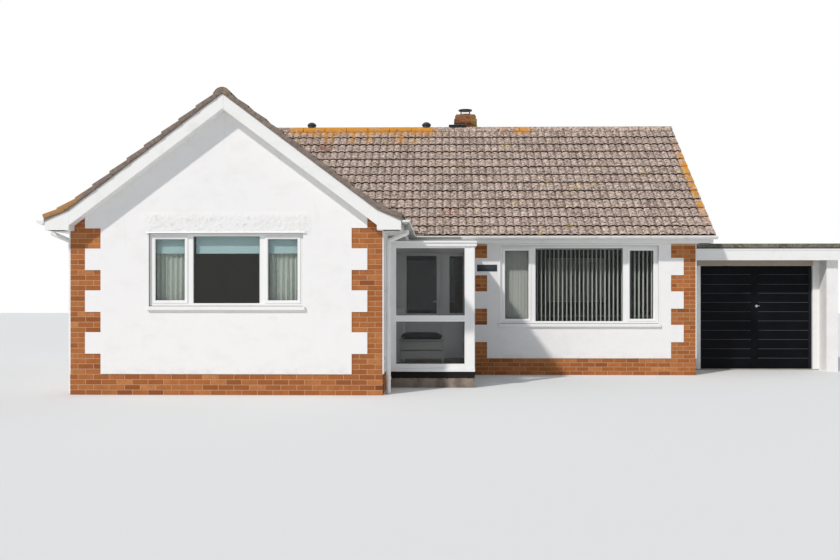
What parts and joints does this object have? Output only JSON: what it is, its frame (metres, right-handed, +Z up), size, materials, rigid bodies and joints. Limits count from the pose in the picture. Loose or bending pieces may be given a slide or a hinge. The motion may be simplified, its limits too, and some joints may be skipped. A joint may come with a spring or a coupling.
{
  "type": "bungalow",
  "caption": "Single-storey house with a gabled front wing, brick corners on white render, a glazed porch, a flat-roofed garage, a front door that opens inwards and an up-and-over garage door.",
  "frame": {"origin": "centre of the bounding box, on the level base that the walls stand on", "axes": "+X to the right along the front, +Y from the front to the back, +Z up"},
  "size_m": [13.186, 10.107, 5.395],
  "materials": {
    "concrete": "rough",
    "brick": "rough",
    "render": "rough painted",
    "plaster": "matt painted",
    "roof_tile": "rough weathered",
    "white_board": "satin",
    "white_frame": "satin",
    "glass": "clear",
    "cowl_black": "matt",
    "bench_white": "painted",
    "blind_cloth": "woven",
    "cushion_cloth": "woven",
    "garage_wall": "rough painted",
    "roof_felt": "rough",
    "garage_steel": "satin"
  },
  "bodies": {
    "house": {"floor_slab": "concrete", "wing_front_wall": "brick", "wing_left_wall": "brick", "wing_right_wall": "brick", "main_left_wall": "brick", "main_right_wall": "brick", "rear_wall": "brick", "front_wall": "brick", "doorway_lintel": "brick", "front_render": "render", "side_render": "render", "rear_render": "render", "ceiling": "plaster", "main_roof": "roof_tile", "wing_roof": "roof_tile", "ridge_tiles": "roof_tile", "bargeboards": "white_board", "fascias": "white_board", "soffits": "white_board", "gutters": "white_frame", "downpipes": "white_frame", "chimney": "brick", "roof_vents": "cowl_black", "wing_window": "white_frame", "main_window": "white_frame", "rear_windows": "white_frame", "window_glass": "glass", "window_blinds": "blind_cloth", "window_sills": "white_frame", "door_frame": "white_frame", "porch_base": "concrete", "porch_frame": "white_frame", "porch_glass": "glass", "porch_roof": "white_board", "porch_bench": "bench_white", "bench_cushion": "cushion_cloth", "garage_floor": "concrete", "garage_walls": "garage_wall", "garage_party_wall": "garage_wall", "garage_roof": "roof_felt", "garage_fascia": "white_board", "garage_frame": "white_board"},
    "front_door_leaf": {"front_door": "white_frame", "door_glass": "glass"},
    "garage_door_leaf": {"garage_door": "garage_steel"}
  },
  "joints": [
    {"name": "front_door_hinge", "type": "hinge", "parent": "house", "child": "front_door_leaf", "pos_m": [-1.5995, -1.0085, 1.3], "axis": [0, 0, 1], "range_deg": [0, 90]},
    {"name": "garage_door_pivot", "type": "hinge", "parent": "house", "child": "garage_door_leaf", "pos_m": [5.191, 0.5085, 1.604], "axis": [-1, 0, 0], "range_deg": [0, 90]}
  ]
}
